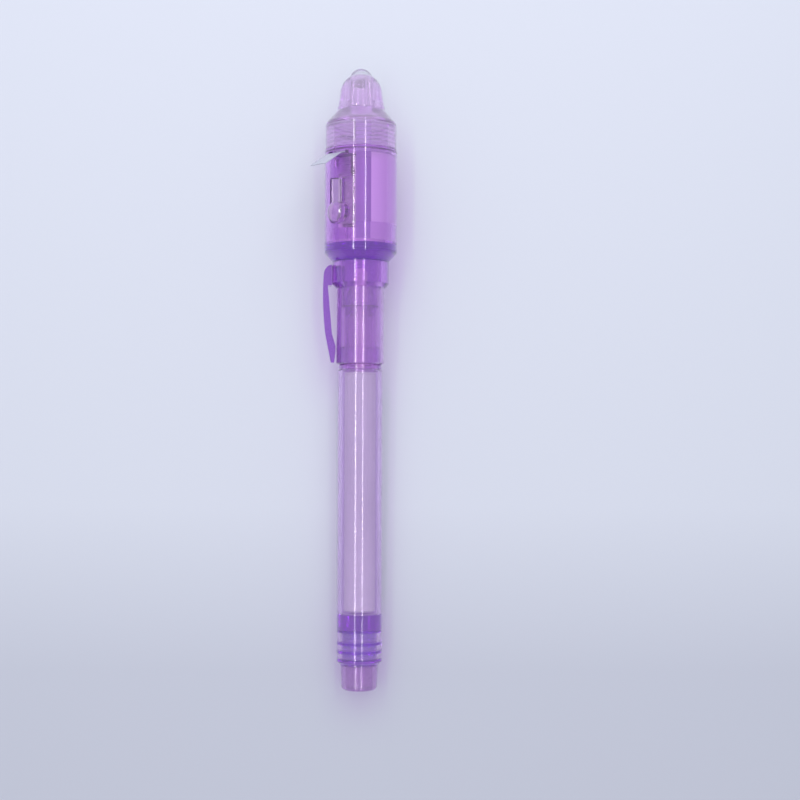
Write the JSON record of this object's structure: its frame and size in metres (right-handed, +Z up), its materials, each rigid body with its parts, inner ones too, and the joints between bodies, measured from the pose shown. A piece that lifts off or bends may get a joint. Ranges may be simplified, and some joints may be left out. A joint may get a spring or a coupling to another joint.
{
  "type": "counterfeit detector pen",
  "caption": "Translucent invisible-ink marker pen whose pull-off cap carries a pocket clip, a button, an insulating pull tab, button cells and an ultraviolet lamp under a screwed nose.",
  "frame": {"origin": "on the pen's axis, where the barrel's full diameter starts at its tail end", "axes": "+Y along the pen from the tail to the lamp, +Z up, with the button between up and -X, and the clip on the -X side"},
  "size_m": [0.0184, 0.1346, 0.0192],
  "materials": {
    "pale_purple": "clear polystyrene with a pale purple tint",
    "deep_purple": "translucent purple plastic, moulded smooth",
    "clear_purple": "transparent purple polystyrene, polished",
    "fibre": "bonded polyester fibre",
    "reservoir_film": "thin clear wrap",
    "nib_fibre": "hard bonded acrylic fibre",
    "nickel_can": "nickel-plated steel",
    "spring_steel": "nickel-plated spring wire and sheet",
    "switch_metal": "nickel-plated phosphor bronze strip",
    "tab_film": "clear polyester film",
    "lamp_epoxy": "water-clear epoxy",
    "tinned_lead": "tinned steel wire",
    "lamp_die": "lamp chip"
  },
  "bodies": {
    "pen": {"barrel": "pale_purple", "tail_plug": "deep_purple", "ink_reservoir": "fibre", "reservoir_film": "reservoir_film", "front_section": "deep_purple", "nib": "nib_fibre"},
    "cap": {"cap_sleeve": "deep_purple", "head_shell": "clear_purple", "battery_holder": "clear_purple", "cell_bottom": "nickel_can", "cell_middle": "nickel_can", "cell_top": "nickel_can", "contact_spring": "spring_steel", "negative_plate": "spring_steel"},
    "clip": {"pocket_clip": "clear_purple"},
    "button": {"push_button": "clear_purple"},
    "switch": {"switch_strip": "switch_metal"},
    "tab": {"pull_tab": "tab_film"},
    "lamp": {"led_lens": "lamp_epoxy", "led_cathode_lead": "tinned_lead", "led_anode_lead": "tinned_lead", "led_die": "lamp_die"},
    "nose": {"lamp_nose": "clear_purple"}
  },
  "joints": [
    {"name": "cap_pull", "type": "slide", "parent": "pen", "child": "cap", "axis": [0, 1, 0], "range_m": [0, 0.04]},
    {"name": "clip_flex", "type": "hinge", "parent": "cap", "child": "clip", "pos_m": [-0.00638, 0.08535, 0.00056], "axis": [-0.0872, 0, -0.9962], "range_deg": [0, 8], "stiffness_Nm_per_rad": 0.38},
    {"name": "button_press", "type": "hinge", "parent": "cap", "child": "button", "pos_m": [-0.00488, 0.1036, 0.00543], "axis": [0.7431, 0, 0.6691], "range_deg": [0, 5.5], "stiffness_Nm_per_rad": 0.147},
    {"name": "strip_flex", "type": "hinge", "parent": "cap", "child": "switch", "pos_m": [-0.00295, 0.10665, 0.00422], "axis": [0.8192, 0, 0.5736], "range_deg": [0, 3.1]},
    {"name": "tab_pull", "type": "slide", "parent": "cap", "child": "tab", "axis": [-0.6691, 0, 0.7431], "range_m": [0, 0.012]},
    {"name": "lamp_lift", "type": "slide", "parent": "cap", "child": "lamp", "axis": [0, 1, 0], "range_m": [0, 0.00496]},
    {"name": "nose_turn", "type": "hinge", "parent": "lamp", "child": "nose", "pos_m": [0, 0.11045, 0], "axis": [0, 1, 0], "range_deg": [0, 1980]}
  ],
  "couplings": [
    {"joint": "strip_flex", "follows": "button_press", "ratio": 0.55},
    {"joint": "lamp_lift", "follows": "nose_turn", "m_per_rad": 0.00014324}
  ]
}
